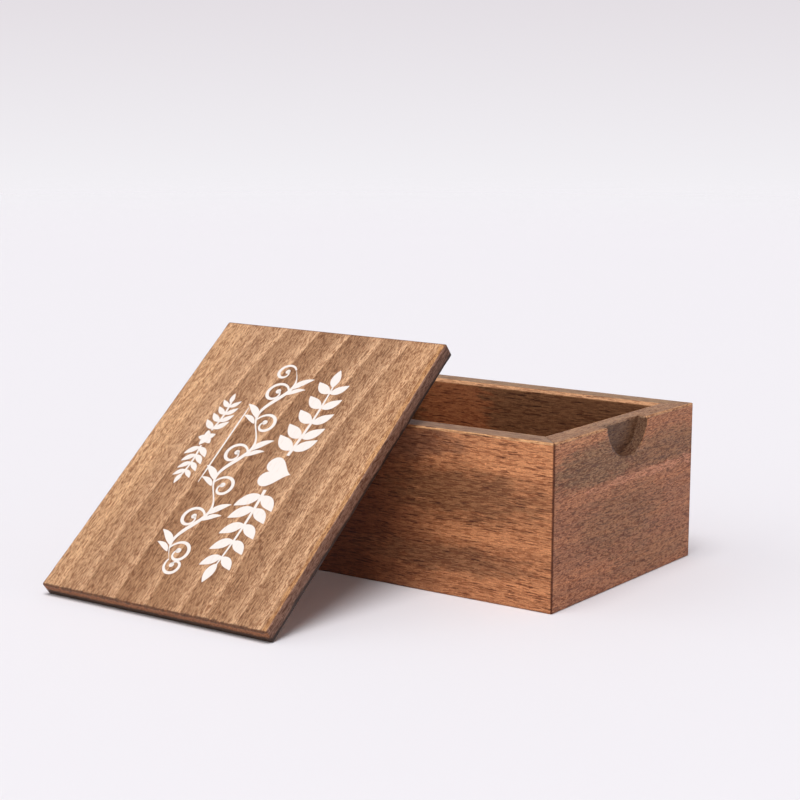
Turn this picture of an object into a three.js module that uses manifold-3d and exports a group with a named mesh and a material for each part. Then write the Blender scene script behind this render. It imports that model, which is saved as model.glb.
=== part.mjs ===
// Card box: four mitred hardwood walls with a thumb notch, a bottom let into a rebate,
// and a loose lift-off lid that leans on the front wall.
//
// Millimetres, +Z up. The origin is the centre of the box's underside. +X points at the
// short wall with the thumb notch, -Y at the long front wall that the lid leans on.

import * as THREE from 'three';
import { mergeVertices } from 'three/addons/utils/BufferGeometryUtils.js';
import Module from 'manifold-3d';

// Box
const boxLength = 155;
const boxWidth = 120;
const boxHeight = 70;
const wallThickness = 12;
const outerEase = 0.8; // radius of the sanded outer arrises
const rimChamfer = 1.3; // flat along the inner arris of the rim
const glueLine = 0.2; // gap between the two faces of a mitre

// Bottom
const bottomThickness = 4;
const rebateDepth = 5; // how far the bottom reaches under the walls
const bottomClearance = 0.3;

// Thumb notch in the right wall, cut with a round bit from the outer face
const notchRadius = 17.5;
const notchCentreRise = 3; // the bit's centre above the rim
const notchRecess = 4.5; // depth into the wall

// Hidden splines that key the mitres together
const splineThickness = 3;
const splineWidth = 8; // across the mitre
const splineFromOuterFaces = 7; // spline centre to the outer faces of both walls
const splineFromRim = 10;
const splineFromRebate = 4;
const splineClearance = 0.2;

// Lid: a plate as large as the box, and under it a panel that drops inside the walls
const lidThickness = 6.5;
const lidEase = 0.6;
const lidCornerRadius = 0.9;
const locatorThickness = 5;
const locatorClearance = 1; // locating panel to the walls' inner faces, all round
const locatorEase = 0.6;
const locatorCornerRadius = 3;
const lidGlueGap = 0.3; // lid plate to locating panel

// How the lid leans: its short side stands on the table in front of the front wall
const lidCentreX = -48.3;
const lidFootDistance = 96.4; // front wall to the lid's lower edge
const restGap = 0.3; // locating panel to the arris that it leans on

const arcSteps = 4; // facets of each eased arris
const notchSteps = 72; // facets of the round bit
const toolOverrun = 2; // how far a cutting tool runs past the face that it cuts

const stainedWall = { color: '#96684a', roughness: 0.62, metalness: 0 };
const stainedEnd = { color: '#9c7258', roughness: 0.62, metalness: 0 };
const lidFace = { color: '#b58a63', roughness: 0.55, metalness: 0 };
const innerBoard = { color: '#6f4f39', roughness: 0.7, metalness: 0 };
const rawBeech = { color: '#c9a27c', roughness: 0.75, metalness: 0 };

const wasm = await Module();
wasm.setup();

// A closed geometry as a solid that can be joined and cut.
function solidOf(geometry) {
  const bare = geometry.clone();
  bare.deleteAttribute('normal');
  bare.deleteAttribute('uv');
  const merged = mergeVertices(bare, 1e-5);
  const vertProperties = new Float32Array(merged.attributes.position.array);
  const triVerts = new Uint32Array(merged.index.array);
  return new wasm.Manifold(new wasm.Mesh({ numProp: 3, vertProperties, triVerts }));
}

// A solid as a flat-shaded geometry.
function geometryOf(solid) {
  const mesh = solid.getMesh();
  const indexed = new THREE.BufferGeometry();
  indexed.setAttribute('position', new THREE.BufferAttribute(mesh.vertProperties, 3));
  indexed.setIndex(new THREE.BufferAttribute(mesh.triVerts, 1));
  const geometry = indexed.toNonIndexed();
  geometry.computeVertexNormals();
  return geometry;
}

function piece(name, geometry, finish) {
  const mesh = new THREE.Mesh(geometry, new THREE.MeshStandardMaterial(finish));
  mesh.name = name;
  return mesh;
}

// A rectangle centred on the origin with round corners.
function roundedRectangle(sizeX, sizeY, radius) {
  const x = sizeX / 2 - radius;
  const y = sizeY / 2 - radius;
  const shape = new THREE.Shape();
  shape.moveTo(x, -y - radius);
  shape.absarc(x, -y, radius, -Math.PI / 2, 0, false);
  shape.absarc(x, y, radius, 0, Math.PI / 2, false);
  shape.absarc(-x, y, radius, Math.PI / 2, Math.PI, false);
  shape.absarc(-x, -y, radius, Math.PI, Math.PI * 1.5, false);
  shape.closePath();
  return shape;
}

// A plate with eased arrises, centred in X and Y, its underside at z = 0.
function easedPlate(sizeX, sizeY, thickness, cornerRadius, ease) {
  const outline = roundedRectangle(sizeX, sizeY, cornerRadius);
  const geometry = new THREE.ExtrudeGeometry(outline, {
    depth: thickness - 2 * ease,
    bevelThickness: ease,
    bevelSize: ease,
    bevelOffset: -ease,
    bevelSegments: arcSteps,
    curveSegments: arcSteps,
  });
  geometry.translate(0, 0, ease);
  return geometry;
}

// A wall's section: x is the distance in from the outer face, y the height.
function wallSection() {
  const rebateHeight = bottomThickness + bottomClearance;
  const foot = wallThickness - rebateDepth;
  const section = new THREE.Shape();
  section.moveTo(outerEase, 0);
  section.lineTo(foot, 0);
  section.lineTo(foot, rebateHeight);
  section.lineTo(wallThickness, rebateHeight);
  section.lineTo(wallThickness, boxHeight - rimChamfer);
  section.lineTo(wallThickness - rimChamfer, boxHeight);
  section.absarc(outerEase, boxHeight - outerEase, outerEase, Math.PI / 2, Math.PI, false);
  section.absarc(outerEase, outerEase, outerEase, Math.PI, Math.PI * 1.5, false);
  section.closePath();
  return section;
}

// The section run along X and cut at 45 degrees at both ends. The outer face lies in
// y = 0 and the wall's thickness runs along +Y.
function mitredBoard(length) {
  const geometry = new THREE.ExtrudeGeometry(wallSection(), {
    depth: length,
    bevelEnabled: false,
    curveSegments: arcSteps,
  });
  const alongX = new THREE.Vector3(1, 0, 0);
  const inward = new THREE.Vector3(0, 1, 0);
  const upward = new THREE.Vector3(0, 0, 1);
  geometry.applyMatrix4(new THREE.Matrix4().makeBasis(inward, upward, alongX));
  geometry.translate(-length / 2, 0, 0);
  const setBack = (glueLine / 2) * Math.SQRT2;
  const position = geometry.attributes.position;
  for (let i = 0; i < position.count; i += 1) {
    const end = Math.sign(position.getX(i));
    position.setX(i, end * (length / 2 - position.getY(i) - setBack));
  }
  return geometry;
}

// A block over the whole box whose rounded edges ease the corner arrises of a wall.
function easingBlock(length, width) {
  const outline = roundedRectangle(length, width, outerEase);
  const height = boxHeight + 2 * toolOverrun;
  const geometry = new THREE.ExtrudeGeometry(outline, {
    depth: height,
    bevelEnabled: false,
    curveSegments: arcSteps,
  });
  geometry.translate(0, width / 2, -toolOverrun);
  return geometry;
}

function splineSpan() {
  const low = bottomThickness + bottomClearance + splineFromRebate;
  const high = boxHeight - splineFromRim;
  return { height: high - low, middle: (high + low) / 2 };
}

// A spline's slot at one end of a wall. The slot crosses the mitre at a right angle.
function splineSlot(length, end) {
  const grow = 2 * splineClearance;
  const { height, middle } = splineSpan();
  const slot = new THREE.BoxGeometry(splineWidth + grow, splineThickness + grow, height + grow);
  slot.rotateZ((end * Math.PI) / 4);
  slot.translate(end * (length / 2 - splineFromOuterFaces), splineFromOuterFaces, middle);
  return slot;
}

// The round bit that cuts the thumb notch, standing across the wall's outer face.
function notchBit() {
  const depth = notchRecess + toolOverrun;
  const bit = new THREE.CylinderGeometry(notchRadius, notchRadius, depth, notchSteps);
  bit.translate(0, notchRecess - depth / 2, boxHeight + notchCentreRise);
  return bit;
}

function wallGeometry(length, width, cuts = []) {
  let solid = solidOf(mitredBoard(length)).intersect(solidOf(easingBlock(length, width)));
  for (const cut of [splineSlot(length, -1), splineSlot(length, 1), ...cuts]) {
    solid = solid.subtract(solidOf(cut));
  }
  return geometryOf(solid);
}

function longWall(name, side) {
  const wall = piece(name, wallGeometry(boxLength, boxWidth), stainedWall);
  wall.position.y = (side * boxWidth) / 2;
  wall.rotation.z = side > 0 ? Math.PI : 0;
  return wall;
}

function shortWall(name, side, cuts) {
  const wall = piece(name, wallGeometry(boxWidth, boxLength, cuts), stainedEnd);
  wall.position.x = (side * boxLength) / 2;
  wall.rotation.z = (side * Math.PI) / 2;
  return wall;
}

// The bottom, flush with the walls' undersides.
function bottomPanel() {
  const inset = wallThickness - rebateDepth + bottomClearance;
  const sizeX = boxLength - 2 * inset;
  const sizeY = boxWidth - 2 * inset;
  const geometry = new THREE.BoxGeometry(sizeX, sizeY, bottomThickness);
  geometry.translate(0, 0, bottomThickness / 2);
  return piece('bottom_panel', geometry, innerBoard);
}

function cornerSpline(name, sideX, sideY) {
  const { height, middle } = splineSpan();
  const spline = piece(name, new THREE.BoxGeometry(splineWidth, splineThickness, height), rawBeech);
  spline.position.set(
    sideX * (boxLength / 2 - splineFromOuterFaces),
    sideY * (boxWidth / 2 - splineFromOuterFaces),
    middle,
  );
  spline.rotation.z = (-sideX * sideY * Math.PI) / 4;
  return spline;
}

// The angle at which the locating panel touches the front wall's eased arris. Both the
// lid's lower edge and the arris are round, so the angle is taken between their centres.
function leanAngle() {
  const run = lidFootDistance - lidEase + outerEase;
  const rise = boxHeight - outerEase - lidEase;
  const drop = lidEase + lidGlueGap + locatorThickness + restGap + outerEase;
  return Math.atan2(rise, run) + Math.asin(drop / Math.hypot(run, rise));
}

// The lid leaning on the box. Inside the group, y runs up the slope from the round lower
// edge that stands on the table, and z is square to the lid's face.
function leaningLid() {
  const slopeMiddle = boxLength / 2 - lidEase;
  const plate = easedPlate(boxWidth, boxLength, lidThickness, lidCornerRadius, lidEase);
  plate.translate(0, slopeMiddle, -lidEase);

  const margin = 2 * (wallThickness + locatorClearance);
  const sizeX = boxWidth - margin;
  const sizeY = boxLength - margin;
  const underside = -lidEase - lidGlueGap - locatorThickness;
  const locator = easedPlate(sizeX, sizeY, locatorThickness, locatorCornerRadius, locatorEase);
  locator.translate(0, slopeMiddle, underside);

  const lid = new THREE.Group();
  lid.add(piece('lid_panel', plate, lidFace));
  lid.add(piece('lid_locating_panel', locator, innerBoard));
  lid.position.set(lidCentreX, -boxWidth / 2 - lidFootDistance + lidEase, lidEase);
  lid.rotation.x = leanAngle();
  return lid;
}

const cardBox = new THREE.Group();
cardBox.add(longWall('front_wall', -1));
cardBox.add(longWall('back_wall', 1));
cardBox.add(shortWall('left_wall', -1, []));
cardBox.add(shortWall('right_wall', 1, [notchBit()]));
cardBox.add(bottomPanel());
cardBox.add(cornerSpline('spline_front_left', -1, -1));
cardBox.add(cornerSpline('spline_front_right', 1, -1));
cardBox.add(cornerSpline('spline_back_left', -1, 1));
cardBox.add(cornerSpline('spline_back_right', 1, 1));
cardBox.add(leaningLid());

export default cardBox;
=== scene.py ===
import math

import bmesh
import bpy
from mathutils import Matrix, Vector, noise


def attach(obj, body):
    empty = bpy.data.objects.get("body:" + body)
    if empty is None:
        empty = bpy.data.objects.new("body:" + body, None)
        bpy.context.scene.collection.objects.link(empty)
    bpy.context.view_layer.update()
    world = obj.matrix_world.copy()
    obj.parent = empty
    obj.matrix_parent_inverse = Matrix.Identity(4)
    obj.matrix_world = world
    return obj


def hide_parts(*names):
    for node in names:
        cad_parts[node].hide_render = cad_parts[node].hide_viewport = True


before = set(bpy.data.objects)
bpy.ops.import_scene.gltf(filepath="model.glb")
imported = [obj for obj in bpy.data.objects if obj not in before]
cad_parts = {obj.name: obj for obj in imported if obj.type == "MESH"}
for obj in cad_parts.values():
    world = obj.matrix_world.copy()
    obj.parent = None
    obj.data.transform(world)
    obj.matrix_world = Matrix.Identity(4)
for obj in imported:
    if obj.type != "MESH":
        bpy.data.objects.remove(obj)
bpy.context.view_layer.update()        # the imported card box, with the bodies "box" and "lid"
mm = 0.001
print("frame loaded:", len(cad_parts), "nodes")


def linear(hexText):
    # An sRGB hex colour as the linear colour that the shaders take
    parts = [int(hexText[i:i + 2], 16) / 255 for i in (1, 3, 5)]
    return [c / 12.92 if c < 0.04045 else ((c + 0.055) / 1.055) ** 2.4 for c in parts] + [1]


def add(tree, kind, links=None, out=0, **options):
    # Adds one node with its options, fills or links its inputs, and gives back one of its outputs
    node = tree.nodes.new("ShaderNode" + kind)
    for option, value in options.items():
        setattr(node, option, value)
    for socket, value in (links or {}).items():
        if isinstance(value, bpy.types.NodeSocket):
            tree.links.new(value, node.inputs[socket])
        else:
            node.inputs[socket].default_value = value
    return node.outputs[out] if node.outputs else node


def newMaterial(name):
    material = bpy.data.materials.new(name)
    material.use_nodes = True
    material.node_tree.nodes.clear()
    return material, material.node_tree


def place(name, mesh, material, matrix=Matrix.Identity(4)):
    thing = bpy.data.objects.new(name, mesh)
    thing.matrix_world = matrix
    mesh.materials.clear()
    mesh.materials.append(material)
    bpy.context.scene.collection.objects.link(thing)
    return thing


camera = {
    "azimuth": 35.35,            # degrees round the box from the front wall
    "elevation": 9.68,
    "roll": 0.27,
    "place": (460.5, -705.8, 214.9),  # mm
    "lens": 86.73,               # mm on a 36 mm sensor
}
studio = {
    "floorColour": "#ecebed",
    "floorRough": 0.7,
    "floorGloss": 0.2,
    "floorRadius": 3.2,          # m, where the floor has faded into the backdrop
    "floorSolid": 1.6,           # m, up to where it is solid
    # the backdrop's colour by height: sine of the angle above the floor
    "backdrop": [(-0.061, "#f3f1f5"), (0.03, "#e5e0e5"), (0.17, "#cdc9ce"), (0.4, "#8e8b90"),
                 (1, "#8e8b90")],
    # softboxes: where each stands, how wide it looks in degrees, and its power
    "lights": {
        "overheadSoftbox": {"from": (0.13, -0.28, 1), "angle": 36, "power": 2.35, "colour": "#fdfcff"},
        "sideSoftbox": {"from": (-0.8, -0.8, 0.45), "angle": 75, "power": 0.9, "colour": "#fffaf4"},
    },
}


def makeCamera():
    azimuth = math.radians(camera["azimuth"])
    elevation = math.radians(camera["elevation"])
    roll = math.radians(camera["roll"])
    right = Vector((math.cos(azimuth), math.sin(azimuth), 0))
    back = Vector((math.sin(azimuth) * math.cos(elevation),
                   -math.cos(azimuth) * math.cos(elevation), math.sin(elevation)))
    up = back.cross(right)
    rolledRight = math.cos(roll) * right + math.sin(roll) * up
    rolledUp = math.cos(roll) * up - math.sin(roll) * right
    data = bpy.data.cameras.new("studioCamera")
    data.sensor_width = 36
    data.lens = camera["lens"]
    data.clip_start = 0.01
    data.clip_end = 50
    seen = bpy.data.objects.new("studioCamera", data)
    turn = Matrix((rolledRight, rolledUp, back)).transposed().to_4x4()
    seen.matrix_world = Matrix.Translation(Vector(camera["place"]) * mm) @ turn
    bpy.context.scene.collection.objects.link(seen)
    bpy.context.scene.camera = seen


def makeStudio():
    bpy.context.scene.view_settings.view_transform = "Standard"

    # Painted studio floor: it fades out with distance, so no horizon line shows behind the box
    material, tree = newMaterial("matt white studio floor")
    spot = add(tree, "TexCoord", out="Object")
    away = add(tree, "VectorMath", {0: spot}, out="Value", operation="LENGTH")
    solid = add(tree, "MapRange", {"Value": away, "From Min": studio["floorSolid"],
                                   "From Max": studio["floorRadius"], "To Min": 1, "To Max": 0},
                interpolation_type="SMOOTHSTEP")
    paint = add(tree, "BsdfPrincipled", {"Base Color": linear(studio["floorColour"]),
                                         "Roughness": studio["floorRough"],
                                         "Specular IOR Level": studio["floorGloss"]})
    clear = add(tree, "BsdfTransparent")
    shown = add(tree, "MixShader", {0: solid, 1: clear, 2: paint})
    add(tree, "OutputMaterial", {"Surface": shown})
    mesh = bpy.data.meshes.new("floor")
    bm = bmesh.new()
    bmesh.ops.create_circle(bm, cap_ends=True, segments=96, radius=studio["floorRadius"] + 0.1)
    bm.to_mesh(mesh)
    bm.free()
    place("floor", mesh, material)

    # Seamless backdrop: palest at floor level, a little greyer overhead
    world = bpy.data.worlds.new("paleBackdrop")
    bpy.context.scene.world = world
    world.use_nodes = True
    tree = world.node_tree
    tree.nodes.clear()
    height = add(tree, "SeparateXYZ", {0: add(tree, "TexCoord", out="Generated")}, out="Z")
    lowest, highest = -0.2, 1
    share = add(tree, "MapRange", {"Value": height, "From Min": lowest, "From Max": highest})
    ramp = add(tree, "ValToRGB", {"Fac": share})
    stops = ramp.node.color_ramp.elements
    stops[0].color = linear(studio["backdrop"][0][1])
    stops[1].color = linear(studio["backdrop"][-1][1])
    for rise, tint in studio["backdrop"][:-1]:
        stops.new((rise - lowest) / (highest - lowest)).color = linear(tint)
    glow = add(tree, "Background", {"Color": ramp, "Strength": 1})
    add(tree, "OutputWorld", {"Surface": glow})

    for name, light in studio["lights"].items():
        softbox = bpy.data.lights.new(name, "SUN")
        softbox.angle = math.radians(light["angle"])
        softbox.energy = light["power"]
        softbox.color = linear(light["colour"])[:3]
        lamp = bpy.data.objects.new(name, softbox)
        lamp.location = light["from"]
        lamp.rotation_euler = Vector(light["from"]).to_track_quat("Z", "Y").to_euler()
        bpy.context.scene.collection.objects.link(lamp)


makeCamera()
makeStudio()
print("camera, floor and light made")


beech = {
    "wanderAlong": 90,           # mm over which the grain drifts, along and across the board
    "wanderAcross": 34,
    "bandReach": 1.3,            # the bands are placed over this many half widths each way
    "bandLast": 0.3,             # how dark the last one ends
    "bandFade": 0.38,            # share of a growth band in which its pale line fades to dark
    "bandFaded": 0.8,            # how dark it is by then
    "bandLine": 0.005,           # share of the board's width in which the next pale line starts
    "dashEdge": 0.05,
    "dashSink": 0.4,             # relief of the dashes and the grit against that of the threads
    "gritRise": 0.5,
    "relief": 0.2,               # mm
    "roughSpread": 0.08,
    "ior": 1.5,                  # oil on wood
    "gloss": 0.28,               # less than a film of varnish, as the oil sank in
}


def woodMaterial(name, half, look):
    # Beech stained walnut brown and sanded: soft growth bands, short dark dashes where the rays and
    # pores took up more stain, and a dusty satin oil. x runs with the grain, in mm from the middle.
    material, tree = newMaterial(name)
    spot = add(tree, "VectorMath", {0: add(tree, "TexCoord", out="Object"), "Scale": 1000},
               operation="SCALE")
    cut = add(tree, "VectorMath", {0: spot, 1: look["cutFrom"]}, operation="ADD")

    # The grain wanders slowly along the board
    slow = add(tree, "Mapping", {"Vector": cut, "Scale": (1 / beech["wanderAlong"],
                                                      1 / beech["wanderAcross"],
                                                      1 / beech["wanderAcross"])})
    wander = add(tree, "TexNoise", {"Vector": slow, "Scale": 1, "Detail": 2, "Roughness": 0.45},
                 out="Color")
    centred = add(tree, "VectorMath", {0: wander, 1: (0.5, 0.5, 0.5)}, operation="SUBTRACT")
    drift = add(tree, "VectorMath", {0: centred, 1: (0, look["wander"], look["wander"])},
                operation="MULTIPLY")
    bent = add(tree, "VectorMath", {0: cut, 1: drift}, operation="ADD")

    # Growth bands: each starts at a crisp pale line, and fades to dark before the next one
    onBoard = add(tree, "VectorMath", {0: spot, 1: drift}, operation="ADD")
    across = add(tree, "VectorMath", {0: onBoard, 1: look["ringSlope"]}, out="Value",
                 operation="DOT_PRODUCT")
    top, bend = look["arch"]
    away = add(tree, "Math", {0: add(tree, "SeparateXYZ", {0: onBoard}), 1: top}, operation="SUBTRACT")
    away = add(tree, "Math", {0: away, 1: 2}, operation="POWER")
    across = add(tree, "Math", {0: away, 1: bend, 2: across}, operation="MULTIPLY_ADD")
    span = half[1] * beech["bandReach"]
    share = add(tree, "MapRange", {"Value": across, "From Min": -span, "From Max": span})
    band = add(tree, "ValToRGB", {"Fac": share})
    stops = band.node.color_ramp.elements
    stops[0].position = 0
    stops[1].position = 1
    stops[1].color = (beech["bandLast"], beech["bandLast"], beech["bandLast"], 1)
    last = 0
    for line, depth in look["rings"]:
        at = (line + span) / (2 * span)
        most = beech["bandFaded"] * depth
        stops.new(last + (at - last) * beech["bandFade"]).color = (most, most, most, 1)
        stops.new(at - beech["bandLine"]).color = (depth, depth, depth, 1)
        stops.new(at).color = (0, 0, 0, 1)
        last = at

    # One texture for each kind of mark, stretched along the grain: its length and width in mm, and
    # the detail of its noise. Marks without detail are single cells, each with a value of its own.
    marks = {}
    for mark, (length, width, detail) in look["marks"].items():
        stretched = add(tree, "Mapping", {"Vector": bent, "Scale": (1 / length, 1 / width, 1 / width)})
        if detail:
            marks[mark] = add(tree, "TexNoise", {"Vector": stretched, "Scale": 1, "Detail": detail,
                                                 "Roughness": 0.6})
        else:
            cell = add(tree, "TexVoronoi", {"Vector": stretched, "Scale": 1}, out="Color")
            marks[mark] = add(tree, "SeparateColor", {0: cell})

    # Colour from pale to dark within each growth band, a little cloudy
    haze = add(tree, "Math", {0: marks["cloud"], 1: look["cloudy"] * 2, 2: -look["cloudy"]},
               operation="MULTIPLY_ADD")
    shade = add(tree, "Math", {0: band, 1: look["bandStrength"], 2: haze}, operation="MULTIPLY_ADD")
    shade.node.use_clamp = True
    colour = add(tree, "Mix", {0: shade, 6: linear(look["pale"]), 7: linear(look["dark"])}, out=2,
                 data_type="RGBA")
    busy = shade

    # Stain that soaked in unevenly, the colour of rims and edges, and painted shade: round or box-shaped
    # patches
    for patch in look["stainsAndShade"]:
        off = add(tree, "VectorMath", {0: spot, 1: patch["at"]}, operation="SUBTRACT")
        off = add(tree, "VectorMath", {0: off, 1: patch["reach"]}, operation="DIVIDE")
        if patch.get("box"):
            parts = add(tree, "SeparateXYZ", {0: add(tree, "VectorMath", {0: off}, operation="ABSOLUTE")})
            far = add(tree, "Math", {0: parts, 1: parts.node.outputs[1]}, operation="MAXIMUM")
            far = add(tree, "Math", {0: far, 1: parts.node.outputs[2]}, operation="MAXIMUM")
        else:
            far = add(tree, "VectorMath", {0: off}, out="Value", operation="LENGTH")
        rag = patch.get("ragged", 0.5)
        edge = add(tree, "Math", {0: marks["torn"], 1: rag * 2, 2: -rag}, operation="MULTIPLY_ADD")
        far = add(tree, "Math", {0: far, 1: edge}, operation="ADD")
        soft = patch.get("soft", 0.3)
        mask = add(tree, "MapRange", {"Value": far, "From Min": 1 - soft, "From Max": 1 + soft,
                                      "To Min": patch.get("strength", 1), "To Max": 0},
                   interpolation_type="SMOOTHSTEP")
        colour = add(tree, "Mix", {0: mask, 6: colour, 7: linear(patch["colour"])}, out=2,
                     data_type="RGBA")
        busy = add(tree, "Math", {0: mask, 1: patch.get("busy", 0), 2: busy}, operation="MULTIPLY_ADD")

    # Fine fibres, pale threads and long dark dashes; fibres crowd in the dark and stained parts
    heavy = add(tree, "Math", {0: busy, 1: look["crowding"], 2: marks["fibre"]}, operation="MULTIPLY_ADD")
    fibres = add(tree, "MapRange", {"Value": heavy, "From Min": look["fibreFrom"], "From Max": 1,
                                    "To Max": look["fibreStrength"]})
    colour = add(tree, "Mix", {0: fibres, 6: colour, 7: linear(look["fibreColour"])}, out=2,
                 data_type="RGBA", blend_type="MULTIPLY")
    dashes = add(tree, "MapRange", {"Value": marks["dash"], "From Min": look["dashFrom"],
                                    "From Max": look["dashFrom"] + beech["dashEdge"],
                                    "To Max": look["dashStrength"]})
    colour = add(tree, "Mix", {0: dashes, 6: colour, 7: linear(look["dashColour"])}, out=2,
                 data_type="RGBA", blend_type="MULTIPLY")
    threads = add(tree, "Math", {0: marks["thread"], 1: look["threadContrast"],
                                 2: 1 - look["threadContrast"] / 2}, operation="MULTIPLY_ADD")
    speck = add(tree, "Math", {0: marks["grit"], 1: look["gritContrast"],
                               2: 1 - look["gritContrast"] / 2}, operation="MULTIPLY_ADD")
    both = add(tree, "Math", {0: threads, 1: speck}, operation="MULTIPLY")
    colour = add(tree, "VectorMath", {0: colour, "Scale": both}, operation="SCALE")

    # Relief: raised fibres, sunk dashes
    relief = add(tree, "Math", {0: dashes, 1: -beech["dashSink"], 2: marks["thread"]},
                 operation="MULTIPLY_ADD")
    relief = add(tree, "Math", {0: marks["grit"], 1: beech["gritRise"], 2: relief},
                 operation="MULTIPLY_ADD")
    bump = add(tree, "Bump", {"Height": relief, "Strength": look["bump"],
                              "Distance": beech["relief"] * mm})
    rough = add(tree, "MapRange", {"Value": marks["thread"], "From Min": 0.3, "From Max": 0.7,
                                   "To Min": look["rough"] - beech["roughSpread"],
                                   "To Max": look["rough"] + beech["roughSpread"]})
    shader = add(tree, "BsdfPrincipled", {"Base Color": colour, "Roughness": rough, "IOR": beech["ior"],
                                          "Specular IOR Level": beech["gloss"], "Normal": bump})
    add(tree, "OutputMaterial", {"Surface": shader})
    return material


def boardOf(node, along, across):
    # A copy of a CAD board in its own frame: x with the grain, y across it, z out of its show face
    outward = along.cross(across)
    turn = Matrix((along, across, outward)).transposed()
    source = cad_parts[node].data
    corners = [turn.inverted() @ v.co for v in source.vertices]
    low = Vector([min(c[i] for c in corners) for i in range(3)])
    high = Vector([max(c[i] for c in corners) for i in range(3)])
    matrix = Matrix.Translation(turn @ ((low + high) / 2)) @ turn.to_4x4()
    bm = bmesh.new()
    bm.from_mesh(source)
    bmesh.ops.transform(bm, matrix=matrix.inverted(), verts=bm.verts)
    bmesh.ops.remove_doubles(bm, verts=bm.verts, dist=1e-6)
    bmesh.ops.dissolve_limit(bm, angle_limit=math.radians(1), verts=bm.verts, edges=bm.edges)
    return bm, matrix, (high - low) / 2


def sliceFine(bm, half, step):
    # Cuts the board's faces into a grid, so that the sanding has vertices to move
    for axis in (0, 1):
        count = int(2 * half[axis] / step)
        normal = Vector((axis == 0, axis == 1, 0))
        for i in range(1, count):
            point = normal * (-half[axis] + 2 * half[axis] * i / count)
            everything = bm.verts[:] + bm.edges[:] + bm.faces[:]
            bmesh.ops.bisect_plane(bm, geom=everything, dist=1e-6, plane_co=point, plane_no=normal)


def handSand(bm, matrix, half, sanding):
    # Broad faces wave very slightly, and arrises away from the mitres are rounded unevenly
    for v in bm.verts:
        world = matrix @ v.co
        sides = [half[i] - abs(v.co[i]) for i in range(3)]
        wave = noise.noise(world / (sanding["waveLength"] * mm)) * sanding["waveDepth"] * mm
        if sides[2] < 0.01 * mm:
            v.co.z -= math.copysign(abs(wave), v.co.z)
        endless = min(1, max(0, (sides[0] / mm - sanding["keepEnds"]) / sanding["easeEnds"]))
        arris = max(sides[1], sides[2]) / mm
        reach = sanding["biteReach"]
        if arris < reach and endless > 0:
            bite = 0.5 + 0.5 * noise.noise(world / (sanding["biteLength"] * mm))
            bite *= sanding["biteDepth"] * (reach - arris) / reach * endless * mm
            v.co.y -= math.copysign(bite, v.co.y)
            v.co.z -= math.copysign(bite, v.co.z)


def finishBoard(bm, name, matrix, material, body, nodes):
    bmesh.ops.recalc_face_normals(bm, faces=bm.faces)
    mesh = bpy.data.meshes.new(name)
    bm.to_mesh(mesh)
    bm.free()
    mesh.shade_smooth()
    mesh.set_sharp_from_angle(angle=math.radians(32))
    board = place(name, mesh, material, matrix)
    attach(board, body)
    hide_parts(*nodes)
    return board


xAxis, yAxis, zAxis = Vector((1, 0, 0)), Vector((0, 1, 0)), Vector((0, 0, 1))

wallLook = {
    "pale": "#d39060",
    "dark": "#aa7049",
    # length and width in mm along and across the grain, and noise detail; real fibres and rays are
    # about half as wide, too fine to show, so they are drawn this coarse
    "marks": {"fibre": (2.6, 0.38, 0), "dash": (4.5, 0.36, 0), "thread": (16, 0.7, 1),
              "grit": (0.7, 0.5, 2), "torn": (9, 2.2, 4), "cloud": (30, 9, 3)},
    "fibreColour": "#9c7358",
    "fibreStrength": 0.7,
    "fibreFrom": 0.35,
    "crowding": 0.25,
    "dashColour": "#77503c",
    "dashStrength": 0.8,
    "dashFrom": 0.9,
    "threadContrast": 0.45,
    "gritContrast": 1,
    "cloudy": 0.18,
    "wander": 6,
    "ringSlope": (0.02, 1, 0.3),
    "arch": (0, 0),
    "bandStrength": 0.6,
    "rings": [(-24, 0.5), (-8, 0.7), (7, 0.6), (24, 0.7)],
    "bump": 0.4,
    "rough": 0.52,
}
endLook = dict(wallLook, pale="#bd7e56", dark="#97664a", dashStrength=0.5, gritContrast=1.3,
               fibreStrength=0.85, marks=dict(wallLook["marks"], fibre=(1.6, 0.45, 0),
                                              dash=(3, 0.45, 0)))


def rimAndInside(half, wall):
    # The stain is greyer on a wall's top, deep brown on its inner face, rubbed pale along the arrises
    # of the rim, and gathered in a dark line where two walls meet. A reach of 999 mm is past any edge.
    tan = {"box": True, "colour": wall["tan"], "ragged": wall["worn"]}
    mitre = {"box": True, "colour": "#6b3a22", "ragged": 0.15, "soft": 0.4, "reach": (0.42, 999, 0.42),
             "strength": 0.85}
    return [
        {"at": (0, 0, -half[2]), "reach": (999, 999, 0.9), "box": True, "colour": wall["inside"],
         "ragged": 0.1},
        *wall["within"],
        {"at": (0, half[1], 0), "reach": (999, 0.9, 999), "box": True, "colour": wall["rim"],
         "ragged": 0.15, "strength": 0.92},
        dict(tan, at=(0, half[1], -half[2]), reach=(999, 1.5, 1.5), ragged=0.2),
        dict(tan, at=(0, half[1], half[2]), reach=(999, 0.85, 0.85), strength=0.9),
        dict(mitre, at=(half[0], -1, half[2])),
        dict(mitre, at=(-half[0], -1, half[2])),
    ]
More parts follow.
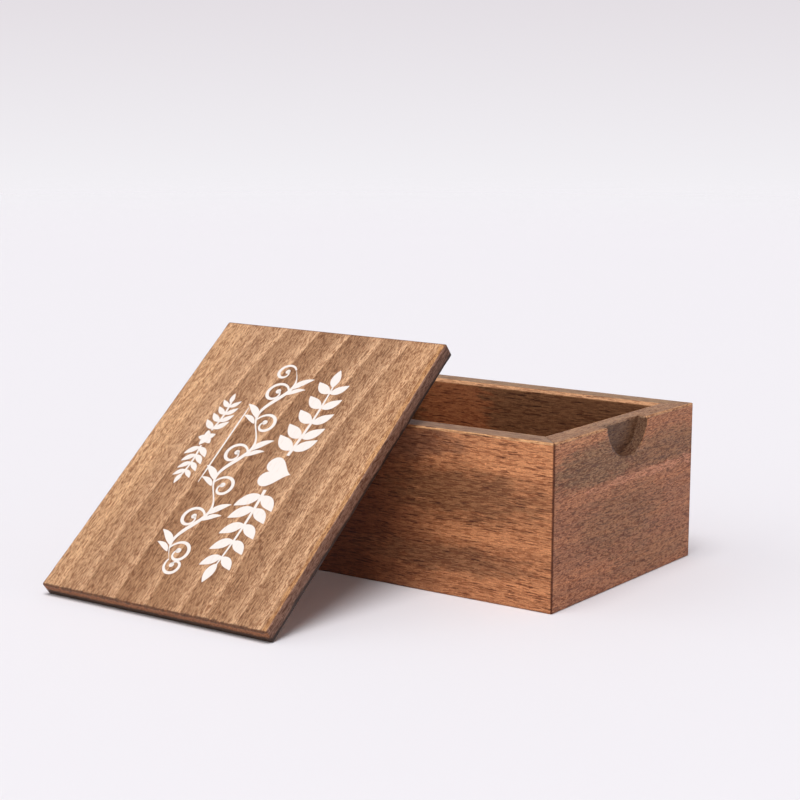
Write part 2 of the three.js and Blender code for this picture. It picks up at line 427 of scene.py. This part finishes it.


# Each stain, and the front wall's painted shadow, has its place in mm from the board's middle, how far it
# reaches, its colour and strength, how soft and ragged its edge is, and how much busier the fibres are in
# it
walls = {
    "front_wall": {
        "along": xAxis, "across": zAxis, "slot": "wall_wood", "look": wallLook, "cutFrom": (0, 0, 0),
        "rim": "#9a7c63", "inside": "#845c3d", "tan": "#dca773", "worn": 0.3, "within": [],
        "stainsAndShade": [
            # painted shadow of the leaning lid: darkest under its left part, fading out to the right past
            # the lid's edge
            {"at": (-52, 0, 6), "reach": (64, 90, 8), "colour": "#68361f", "strength": 0.93, "soft": 0.5,
             "ragged": 0.3},
            {"at": (-4, 29, 6), "reach": (34, 8, 8), "colour": "#845840", "strength": 0.8, "soft": 0.5,
             "ragged": 0.9, "busy": 0.5},
            {"at": (34, 9, 6), "reach": (36, 10, 8), "colour": "#845a3a", "strength": 0.75, "ragged": 1.1,
             "busy": 0.8, "soft": 0.45},
            {"at": (26, -19, 6), "reach": (36, 5.5, 8), "colour": "#8a5f40", "strength": 0.75,
             "ragged": 1.2, "busy": 0.7, "soft": 0.5},
        ],
    },
    "back_wall": {
        "along": -xAxis, "across": zAxis, "slot": "wall_wood", "look": wallLook, "cutFrom": (300, 90, 40),
        "rim": "#a1815f", "inside": "#845c3d", "tan": "#d09c70", "worn": 0.4,
        "within": [{"at": (44, 22, -6), "reach": (21, 17, 3), "colour": "#ab6a42", "strength": 0.8,
                    "ragged": 1, "busy": -0.3}],
        "stainsAndShade": [
            {"at": (-20, 5, 6), "reach": (34, 10, 8), "colour": "#8a6040", "strength": 0.7, "ragged": 1.1,
             "busy": 0.7, "soft": 0.45},
            {"at": (45, -14, 6), "reach": (22, 6, 8), "colour": "#8a5f40", "strength": 0.5, "ragged": 1.1,
             "busy": 0.5, "soft": 0.45},
        ],
    },
    "left_wall": {
        "along": -yAxis, "across": zAxis, "slot": "end_wood", "look": endLook, "cutFrom": (-200, 60, 10),
        "rim": "#ab8565", "inside": "#845c3d", "tan": "#c9966a", "worn": 0.8, "within": [],
        "stainsAndShade": [
            {"at": (12, -10, 6), "reach": (30, 10, 8), "colour": "#85623f", "strength": 0.6,
             "ragged": 0.9, "busy": 0.6},
            {"at": (-30, 18, 6), "reach": (26, 7, 8), "colour": "#85623f", "strength": 0.6,
             "ragged": 0.9, "busy": 0.6},
        ],
    },
    "right_wall": {
        "along": yAxis, "across": zAxis, "slot": "end_wood", "look": endLook, "cutFrom": (100, -70, 80),
        "rim": "#ab8565", "inside": "#845c3d", "tan": "#c9966a", "worn": 0.8, "within": [],
        "stainsAndShade": [
            {"at": (-22, 21, 6), "reach": (37, 9, 8), "colour": "#9b7653", "strength": 0.85,
             "ragged": 0.9, "busy": 0.7, "soft": 0.35},
            {"at": (34, 19, 6), "reach": (40, 8, 8), "colour": "#9a704c", "strength": 0.7,
             "ragged": 0.8, "busy": 0.3},
            {"at": (20, 10.5, 6), "reach": (50, 1.7, 8), "colour": "#cf8e6a", "strength": 0.85,
             "ragged": 2.4, "busy": -0.6, "soft": 0.15},
            {"at": (-34, 32.5, 6), "reach": (24, 2, 8), "colour": "#cf9064", "strength": 0.8,
             "ragged": 0.8},
            {"at": (-4, -6, 6), "reach": (34, 13, 8), "colour": "#966d48", "strength": 0.55, "ragged": 1,
             "busy": 0.5, "soft": 0.5},
            {"at": (24, -26, 6), "reach": (34, 7, 8), "colour": "#966d48", "strength": 0.4, "ragged": 1,
             "busy": 0.3, "soft": 0.5},
            # the notch, where the cut end grain drank the most stain
            {"at": (0, 38, 0), "reach": (18, 18, 999), "colour": "#76553c", "ragged": 0.04, "soft": 0.02},
        ],
    },
}

# In mm: the grid that is sanded, the broad waves of a face, and the small bites along its arrises
sanding = {
    "step": 2.5,
    "waveLength": 22,
    "waveDepth": 0.07,
    "biteLength": 5,
    "biteDepth": 0.16,
    "biteReach": 1.2,
    "keepEnds": 2.5,             # mm at each end left as cut, so that the mitres stay closed
    "easeEnds": 4,               # mm over which the sanding then comes in
}


def makeWalls():
    for node, wall in walls.items():
        bm, matrix, half = boardOf(node, wall["along"], wall["across"])
        sliceFine(bm, half, sanding["step"] * mm)
        handSand(bm, matrix, half, sanding)
        stainsAndShade = wall["stainsAndShade"] + rimAndInside(half / mm, wall)
        look = dict(wall["look"], cutFrom=wall["cutFrom"], stainsAndShade=stainsAndShade)
        material = woodMaterial("walnut stained beech, sanded " + node.replace("_", " "), half / mm, look)
        finishBoard(bm, node + "_board", matrix, material, "box", [node])


makeWalls()
print("walls made")


# The lid's board shows finer marks than the walls, and crisp bands that arch over its length
lidLook = {
    "pale": "#dab088",
    "dark": "#a27956",
    "marks": {"fibre": (1.7, 0.42, 0), "dash": (3.4, 0.42, 0), "thread": (20, 0.7, 1),
              "grit": (0.7, 0.45, 1), "torn": (9, 2.2, 4), "cloud": (34, 9, 3)},
    "fibreColour": "#a88b76",
    "fibreStrength": 0.9,
    "fibreFrom": 0.3,
    "crowding": 0.08,
    "dashColour": "#8f705a",
    "dashStrength": 0.35,
    "dashFrom": 0.88,
    "threadContrast": 0.2,
    "gritContrast": 0.9,
    "cloudy": 0.04,
    "wander": 1.6,
    "ringSlope": (0, 1, 0.5),
    "arch": (-50, 0.0008),       # the bands arch: mm along the board of the top, and their bend
    "bandStrength": 1,
    "rings": [(-54, 0.7), (-42, 0.9), (-27, 0.9), (-13, 0.9), (5, 1), (22, 1), (40, 0.8), (53, 0.6),
              (61, 0.6), (71, 0.6)],
    "bump": 0.15,
    "rough": 0.52,
    "cutFrom": (20, 400, -60),
    "edge": "#8a6653",
    "foot": "#9d6742",
    # the foot's lower half, near-black as painted shade beside the underside and the floor
    "footLowShade": "#503c30",
}


def lidStainsAndShade(size):
    # On the face the foot end is darker and both long sides paler; the sawn edges took the most stain,
    # and their arrises are rubbed golden on one side and scorched along the foot's top; the lower half of
    # the foot and the lower arris of the right long side are painted shade, beside the shaded underside
    # and the floor
    edge = {"box": True, "colour": lidLook["edge"], "ragged": 0.3}
    return [
        {"at": (-64, 14, size.z), "reach": (62, 66, 9), "colour": "#a97b52", "strength": 0.2, "soft": 0.5,
         "ragged": 0.1},
        {"at": (60, -54, size.z), "reach": (90, 12, 9), "colour": "#d8a97c", "strength": 0.5, "soft": 0.6,
         "ragged": 0.1},
        {"at": (10, 54, size.z), "reach": (90, 9, 9), "colour": "#e0b384", "strength": 0.5, "soft": 0.6,
         "ragged": 0.1},
        {"at": (0, -size.y, size.z), "reach": (999, 2.6, 0.6), "box": True, "colour": "#c08b52",
         "strength": 0.6, "ragged": 0.9},
        dict(edge, at=(0, -size.y, 0), reach=(999, 0.6, 999)),
        dict(edge, at=(0, size.y, 0), reach=(999, 0.6, 999)),
        dict(edge, at=(size.x, 0, 0), reach=(0.6, 999, 999)),
        dict(edge, at=(-size.x, 0, 0), reach=(0.6, 999, 999), colour=lidLook["foot"]),
        # painted shade: the foot's lower half, beside the shaded underside and the floor
        dict(edge, at=(-size.x, 0, -size.z), reach=(0.9, 999, 3.2), colour=lidLook["footLowShade"]),
        # painted shade along the right long side's lower arris, beside the shaded underside
        dict(edge, at=(0, -size.y, -size.z), reach=(999, 0.9, 1.8), colour="#3d2d26", ragged=0.8),
        dict(edge, at=(-size.x, 0, size.z), reach=(0.7, 999, 0.8), colour="#3a2b22", ragged=2,
             strength=0.6),
    ]


def makeLid():
    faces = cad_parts["lid_panel"].data.polygons
    up = max((f for f in faces if f.normal.z > 0), key=lambda f: f.area).normal.normalized()
    across = -xAxis
    along = across.cross(up)
    bm, matrix, half = boardOf("lid_panel", along, across)
    sliceFine(bm, half, sanding["step"] * mm)
    handSand(bm, matrix, half, sanding)
    look = dict(lidLook, stainsAndShade=lidStainsAndShade(half / mm))
    material = woodMaterial("walnut stained beech, sanded lid face", half / mm, look)
    finishBoard(bm, "lid_board", matrix, material, "lid", ["lid_panel"])

    bm, matrix, half = boardOf("lid_locating_panel", along, across)
    sliceFine(bm, half, sanding["step"] * mm)
    handSand(bm, matrix, half, sanding)
    look = dict(wallLook, cutFrom=(0, 800, 20), stainsAndShade=[])
    material = woodMaterial("walnut stained beech, sanded locating panel", half / mm, look)
    finishBoard(bm, "lid_locating_board", matrix, material, "lid", ["lid_locating_panel"])


makeLid()
print("lid made")


splineLook = dict(wallLook, pale="#cfa884", dark="#b78f6b", dashColour="#a88468", bandStrength=0.3,
                  stainsAndShade=[], rough=0.6)
splineSpan = (80, 60, 35)        # mm each way from the frame's middle that their bands take in


def makeInside():
    bm, matrix, half = boardOf("bottom_panel", xAxis, yAxis)
    sliceFine(bm, half, sanding["step"] * mm)
    look = dict(wallLook, cutFrom=(0, 500, 120), stainsAndShade=[])
    material = woodMaterial("walnut stained beech, sanded bottom panel", half / mm, look)
    finishBoard(bm, "bottom_board", matrix, material, "box", ["bottom_panel"])

    # The splines inside the mitres keep their CAD shape, in bare sawn beech
    for i, (node, thing) in enumerate(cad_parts.items()):
        if node.startswith("spline"):
            look = dict(splineLook, cutFrom=(70 * i, 30, 900))
            material = woodMaterial("bare sawn beech " + node.replace("_", " "), splineSpan, look)
            if not thing.material_slots:
                thing.data.materials.append(None)
            thing.material_slots[0].link = "OBJECT"
            thing.material_slots[0].material = material


makeInside()
print("inside made")

# The printed ornament on the lid, in mm: x up the slope from the lid's foot, y from the lid's right
# long side. A small sprig, a rule, a vine of scrolls and a bold garland round a heart.
ornament = {
    "proud": 0.05,               # the ink stands this high off the wood
    "sunk": 0.12,                # and its slab reaches this deep, past the waves of the sanding
    "garland": {"x": 75, "y": 42, "heart": 15, "gap": 9.5, "pairs": 5, "pitch": 8.2, "stem": 1.5,
                "leaf": 12.5, "fat": 5.6, "sag": 1},
    # a vine's leaves: shift along the stem, tilt in degrees, share of the length, width and bow
    "vine": {"from": 24, "to": 131, "y": 66, "rise": 4.2, "waves": 3, "thin": 0.6, "thick": 2,
             "scroll": 6.2, "turns": 1.15, "tendril": 1.5, "leaf": 9.5,
             "leaves": [(1, 48, 1.3, 3.2, 0.16), (-2, 76, 0.85, 2.3, 0.2)]},
    "rule": {"from": 64, "to": 107, "y": 77.3, "thick": 0.8},
    "sprig": {"x": 87.5, "y": 88.5, "pairs": 4, "pitch": 4.3, "stem": 1, "leaf": 7.6, "fat": 2.9,
              "flower": 4.4, "petal": 2.8},
    "inkColour": "#e9e2da",
    "wornColour": "#cdb297",
    "rough": 0.62,
}


def slab(bm, outline, lift):
    # A thin flat piece of ink from its outline, anticlockwise
    top = [bm.verts.new((x, y, lift)) for x, y in outline]
    under = [bm.verts.new((x, y, -ornament["sunk"])) for x, y in outline]
    bm.faces.new(top)
    bm.faces.new(under[::-1])
    for i in range(len(outline)):
        j = (i + 1) % len(outline)
        bm.faces.new((top[j], top[i], under[i], under[j]))


def stroke(bm, points, widths, lift):
    # A brush stroke: a strip along its points, with its own width at each
    left, right = [], []
    for i, (x, y) in enumerate(points):
        before, after = points[max(i - 1, 0)], points[min(i + 1, len(points) - 1)]
        run = Vector((after[0] - before[0], after[1] - before[1])).normalized() * widths[i] / 2
        left.append((x - run.y, y + run.x))
        right.append((x + run.y, y - run.x))
    slab(bm, right + left[::-1], lift)


def leaf(bm, root, tip, fat, bow, lift):
    # A pointed leaf that bows to one side, fattest a little above its root
    root, tip = Vector(root), Vector(tip)
    reach = tip - root
    bend = root + reach / 2 + Vector((-reach.y, reach.x)) * bow
    points, widths = [], []
    for i in range(17):
        t = i / 16
        spot = root * (1 - t) ** 2 + bend * 2 * t * (1 - t) + tip * t * t
        points.append((spot.x, spot.y))
        widths.append(0.1 + fat * math.sin(math.pi * t ** 0.85) ** 0.9)
    stroke(bm, points, widths, lift)


def scroll(bm, start, heading, radius, turns, side, wide, lift):
    # A tendril that leaves its start along heading and winds inwards, ending in a round bud
    points, widths = [], []
    x, y = start
    angle = heading
    steps = 44
    for i in range(steps + 1):
        t = i / steps
        points.append((x, y))
        widths.append(wide * (0.5 + 0.5 * math.sin(math.pi * min(1, t * 1.3))) + 0.1)
        tight = radius * (1 - 0.78 * t)
        step = 2 * math.pi * turns / steps
        angle += side * step
        x += math.cos(angle) * tight * step
        y += math.sin(angle) * tight * step
    stroke(bm, points, widths, lift)
    bud = wide * 0.85
    bends = [a * math.pi / 9 for a in range(18)]
    slab(bm, [(x + bud * math.cos(a), y + bud * math.sin(a)) for a in bends], lift)


def heart(bm, x, y, size, lift):
    outline = []
    for i in range(40):
        a = 2 * math.pi * i / 40
        across = 16 * math.sin(a) ** 3
        high = 13 * math.cos(a) - 5 * math.cos(2 * a) - 2 * math.cos(3 * a) - math.cos(4 * a)
        outline.append((x - across * size / 30, y + high * size / 30))
    slab(bm, outline, lift)


def ray(x, y, way, tilt, length):
    a = math.radians(tilt)
    return x + way * math.cos(a) * length, y + math.sin(a) * length


def drawGarland(bm):
    # A heart between two branches of broad leaves in pairs
    plan = ornament["garland"]
    lift, y = ornament["proud"], plan["y"]
    heart(bm, plan["x"], y + 1, plan["heart"], lift)
    run = plan["pitch"] * plan["pairs"]
    for way in (-1, 1):
        stem = [(plan["x"] + way * (plan["gap"] + run * i / 24),
                 y - plan["sag"] * math.sin(i / 24 * math.pi)) for i in range(25)]
        stroke(bm, stem, [plan["stem"] * (1.05 - i / 40) for i in range(25)], lift)
        for i in range(plan["pairs"]):
            root = stem[round(24 * (i + 0.35) / plan["pairs"])]
            for tilt, length in ((57, 1), (-54, 0.92)):
                size = length * (1 - 0.05 * i)
                leaf(bm, root, ray(*root, way, tilt, plan["leaf"] * size), plan["fat"] * size,
                     math.copysign(0.12, tilt) * way, lift + 0.01)
        leaf(bm, stem[-2], ray(*stem[-2], way, 8, plan["leaf"] * 0.8), plan["fat"] * 0.8, 0.08 * way,
             lift + 0.01)


def drawVine(bm):
    # A waving stem, broad where it falls and fine where it rises as a pen writes, with scrolls
    plan = ornament["vine"]
    length = plan["to"] - plan["from"]
    lift = ornament["proud"]
    steps = 120
    turn = 2 * math.pi * plan["waves"]
    points = [(plan["from"] + length * i / steps, plan["y"] + plan["rise"] * math.sin(turn * i / steps))
              for i in range(steps + 1)]
    swell = plan["thick"] - plan["thin"]
    widths = [(plan["thin"] + swell * (0.5 - 0.5 * math.cos(turn * i / steps))) *
              min(1, (i + 2) / 12, (steps + 2 - i) / 12) for i in range(steps + 1)]
    stroke(bm, points, widths, lift)
    for i in range(2 * plan["waves"]):
        x, y = points[round(steps * (i + 0.32) / (2 * plan["waves"]))]
        up = 1 if i % 2 else -1
        scroll(bm, (x, y), math.radians(18 * up), plan["scroll"], plan["turns"], up, plan["tendril"],
               lift + 0.01)
        for shift, tilt, share, fat, bow in plan["leaves"]:
            leaf(bm, (x + shift, y), ray(x, y, 1, -tilt * up, plan["leaf"] * share), fat, bow * up,
                 lift + 0.01)
    for end, heading in ((0, 150), (-1, 30)):
        scroll(bm, points[end], math.radians(heading), plan["scroll"] * 0.8, 1.1, 1, 1.4, lift + 0.01)


def drawSprig(bm):
    # A small flower between two leafy twigs, over a fine rule
    rule, plan = ornament["rule"], ornament["sprig"]
    lift = ornament["proud"]
    points = [(rule["from"] + (rule["to"] - rule["from"]) * i / 20, rule["y"]) for i in range(21)]
    stroke(bm, points, [rule["thick"] * min(1, 0.35 + i / 5, 0.35 + (20 - i) / 5) for i in range(21)],
           lift)
    run = plan["pitch"] * plan["pairs"]
    for way in (-1, 1):
        twig = [(plan["x"] + way * (plan["flower"] + run * i / 16), plan["y"] - math.sin(i / 16 * 3))
                for i in range(17)]
        stroke(bm, twig, [plan["stem"]] * 17, lift)
        for i in range(plan["pairs"]):
            root = twig[round(16 * (i + 0.3) / plan["pairs"])]
            for tilt in (54, -50):
                size = 1 - 0.07 * i
                leaf(bm, root, ray(*root, way, tilt, plan["leaf"] * size), plan["fat"] * size,
                     math.copysign(0.12, tilt) * way, lift + 0.01)
        leaf(bm, twig[-2], ray(*twig[-2], way, 10, plan["leaf"] * 0.75), plan["fat"] * 0.8, 0.1 * way,
             lift + 0.01)
    for i in range(5):
        leaf(bm, (plan["x"], plan["y"]), ray(plan["x"], plan["y"], 1, 90 + 72 * i, plan["flower"]),
             plan["petal"], 0, lift + 0.02 + 0.01 * i)


def makeOrnament():
    # Flat white screen-printing ink on oiled wood: matt, and a little thin over the fibres
    material, tree = newMaterial("matt white screen-printing ink")
    spot = add(tree, "VectorMath", {0: add(tree, "TexCoord", out="Object"), "Scale": 1000},
               operation="SCALE")
    thin = add(tree, "Mapping", {"Vector": spot, "Scale": (1 / 5, 1 / 0.5, 1 / 0.5)})
    fibre = add(tree, "TexNoise", {"Vector": thin, "Scale": 1, "Detail": 3, "Roughness": 0.6})
    worn = add(tree, "MapRange", {"Value": fibre, "From Min": 0.56, "From Max": 0.75, "To Max": 0.4})
    colour = add(tree, "Mix", {0: worn, 6: linear(ornament["inkColour"]),
                               7: linear(ornament["wornColour"])}, out=2, data_type="RGBA")
    bump = add(tree, "Bump", {"Height": fibre, "Strength": 0.25, "Distance": 0.1 * mm})
    shader = add(tree, "BsdfPrincipled", {"Base Color": colour, "Roughness": ornament["rough"],
                                          "IOR": 1.48, "Normal": bump})
    add(tree, "OutputMaterial", {"Surface": shader})

    board = bpy.data.objects["lid_board"]
    size = [max(v.co[i] for v in board.data.vertices) for i in range(3)]
    prints = {"lid_print_sprig": drawSprig, "lid_print_vine": drawVine, "lid_print_garland": drawGarland}
    for name, draw in prints.items():
        bm = bmesh.new()
        draw(bm)
        bmesh.ops.scale(bm, vec=(mm, mm, mm), verts=bm.verts)
        bmesh.ops.translate(bm, vec=(-size[0], -size[1], size[2]), verts=bm.verts)
        bmesh.ops.recalc_face_normals(bm, faces=bm.faces)
        mesh = bpy.data.meshes.new(name)
        bm.to_mesh(mesh)
        bm.free()
        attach(place(name, mesh, material, board.matrix_world.copy()), "lid")


makeOrnament()
print("ornament made")
